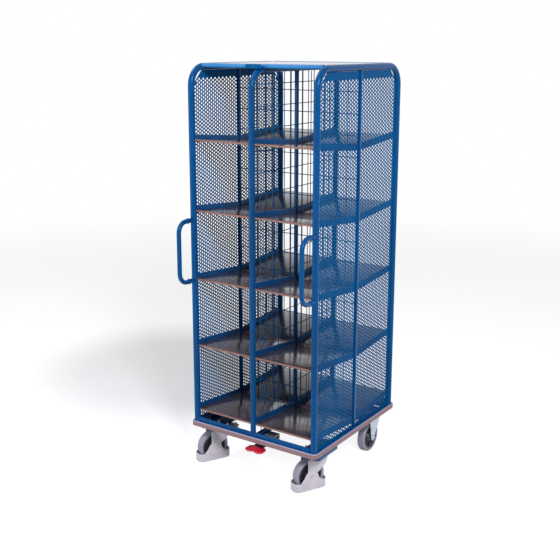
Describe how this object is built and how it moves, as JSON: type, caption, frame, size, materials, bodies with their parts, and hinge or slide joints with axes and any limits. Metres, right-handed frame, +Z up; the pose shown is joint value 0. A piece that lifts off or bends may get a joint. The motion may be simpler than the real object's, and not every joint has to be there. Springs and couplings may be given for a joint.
{
  "type": "document trolley",
  "caption": "Tall blue tube-frame trolley with back-to-back sloping file shelves, perforated sides, mesh dividers, D handles, braked swivel casters and fixed casters.",
  "frame": {"origin": "on the floor, under the middle of the bounding box", "axes": "+X to the right seen from the handle end, +Y from the handle end to the rear, +Z up"},
  "size_m": [0.7428, 0.8838, 1.99],
  "materials": {
    "blue_paint": "gloss",
    "film_board": "smooth film, satin",
    "pale_board": "pale smooth film, gloss",
    "bumper_plastic": "satin",
    "grey_plastic": "satin",
    "grey_rubber": "matte",
    "black_plastic": "satin",
    "zinc": "bright zinc plated",
    "red_plastic": "gloss"
  },
  "bodies": {
    "frame": {"axle_rear_left": "zinc", "axle_rear_right": "zinc", "base_frame": "blue_paint", "bumper_strip": "bumper_plastic", "centre_mesh_left": "blue_paint", "centre_mesh_right": "blue_paint", "divider_frame": "blue_paint", "divider_mesh_front": "blue_paint", "divider_mesh_rear": "blue_paint", "fixed_fork_left": "zinc", "fixed_fork_right": "zinc", "handle_left": "blue_paint", "handle_right": "blue_paint", "shelf_1_left_front": "film_board", "shelf_1_left_rear": "film_board", "shelf_1_right_front": "film_board", "shelf_1_right_rear": "film_board", "shelf_2_left_front": "film_board", "shelf_2_left_rear": "film_board", "shelf_2_right_front": "film_board", "shelf_2_right_rear": "film_board", "shelf_3_left_front": "film_board", "shelf_3_left_rear": "film_board", "shelf_3_right_front": "film_board", "shelf_3_right_rear": "film_board", "shelf_4_left_front": "film_board", "shelf_4_left_rear": "film_board", "shelf_4_right_front": "film_board", "shelf_4_right_rear": "film_board", "shelf_5_left_front": "film_board", "shelf_5_left_rear": "film_board", "shelf_5_right_front": "film_board", "shelf_5_right_rear": "film_board", "side_frame_left": "blue_paint", "side_frame_right": "blue_paint", "side_sheet_left_front": "blue_paint", "side_sheet_left_rear": "blue_paint", "side_sheet_right_front": "blue_paint", "side_sheet_right_rear": "blue_paint", "swivel_plate_left": "zinc", "swivel_plate_right": "zinc", "top_board": "pale_board", "top_rail_front": "blue_paint", "top_rail_rear": "blue_paint"},
    "swivel_left": {"axle_front_left": "zinc", "swivel_fork_left": "grey_plastic"},
    "swivel_right": {"axle_front_right": "zinc", "swivel_fork_right": "grey_plastic"},
    "brake_bar": {"brake_pedal": "red_plastic", "brake_shaft": "zinc"},
    "plunger_left": {"brake_plunger_left": "zinc"},
    "plunger_right": {"brake_plunger_right": "zinc"},
    "roller_front_left": {"tyre_front_left": "grey_rubber", "wheel_front_left": "black_plastic"},
    "roller_front_right": {"tyre_front_right": "grey_rubber", "wheel_front_right": "black_plastic"},
    "roller_rear_left": {"tyre_rear_left": "grey_rubber", "wheel_rear_left": "black_plastic"},
    "roller_rear_right": {"tyre_rear_right": "grey_rubber", "wheel_rear_right": "black_plastic"}
  },
  "joints": [
    {"name": "swivel_left_turn", "type": "hinge", "parent": "frame", "child": "swivel_left", "pos_m": [-0.28794, -0.20115, 0.1677], "axis": [0, 0, 1], "continuous": true},
    {"name": "front_left_roll", "type": "hinge", "parent": "swivel_left", "child": "roller_front_left", "pos_m": [-0.30899, -0.24429, 0.07878], "axis": [0.8988, -0.4384, 0], "continuous": true},
    {"name": "rear_left_roll", "type": "hinge", "parent": "frame", "child": "roller_rear_left", "pos_m": [-0.28794, 0.29885, 0.07878], "axis": [1, 0, 0], "continuous": true},
    {"name": "swivel_right_turn", "type": "hinge", "parent": "frame", "child": "swivel_right", "pos_m": [0.29206, -0.20115, 0.1677], "axis": [0, 0, 1], "continuous": true},
    {"name": "front_right_roll", "type": "hinge", "parent": "swivel_right", "child": "roller_front_right", "pos_m": [0.27101, -0.24429, 0.07878], "axis": [0.8988, -0.4384, 0], "continuous": true},
    {"name": "rear_right_roll", "type": "hinge", "parent": "frame", "child": "roller_rear_right", "pos_m": [0.29206, 0.29885, 0.07878], "axis": [1, 0, 0], "continuous": true},
    {"name": "brake_press", "type": "hinge", "parent": "frame", "child": "brake_bar", "pos_m": [0.03606, -0.20115, 0.18118], "axis": [1, 0, 0], "range_deg": [0, 20]},
    {"name": "plunger_left_slide", "type": "slide", "parent": "frame", "child": "plunger_left", "axis": [0, 0, -1], "range_m": [0, 0.0013]},
    {"name": "plunger_right_slide", "type": "slide", "parent": "frame", "child": "plunger_right", "axis": [0, 0, -1], "range_m": [0, 0.0013]}
  ],
  "couplings": [
    {"joint": "plunger_left_slide", "follows": "brake_press", "m_per_rad": 0.003429},
    {"joint": "plunger_right_slide", "follows": "brake_press", "m_per_rad": 0.003429}
  ]
}
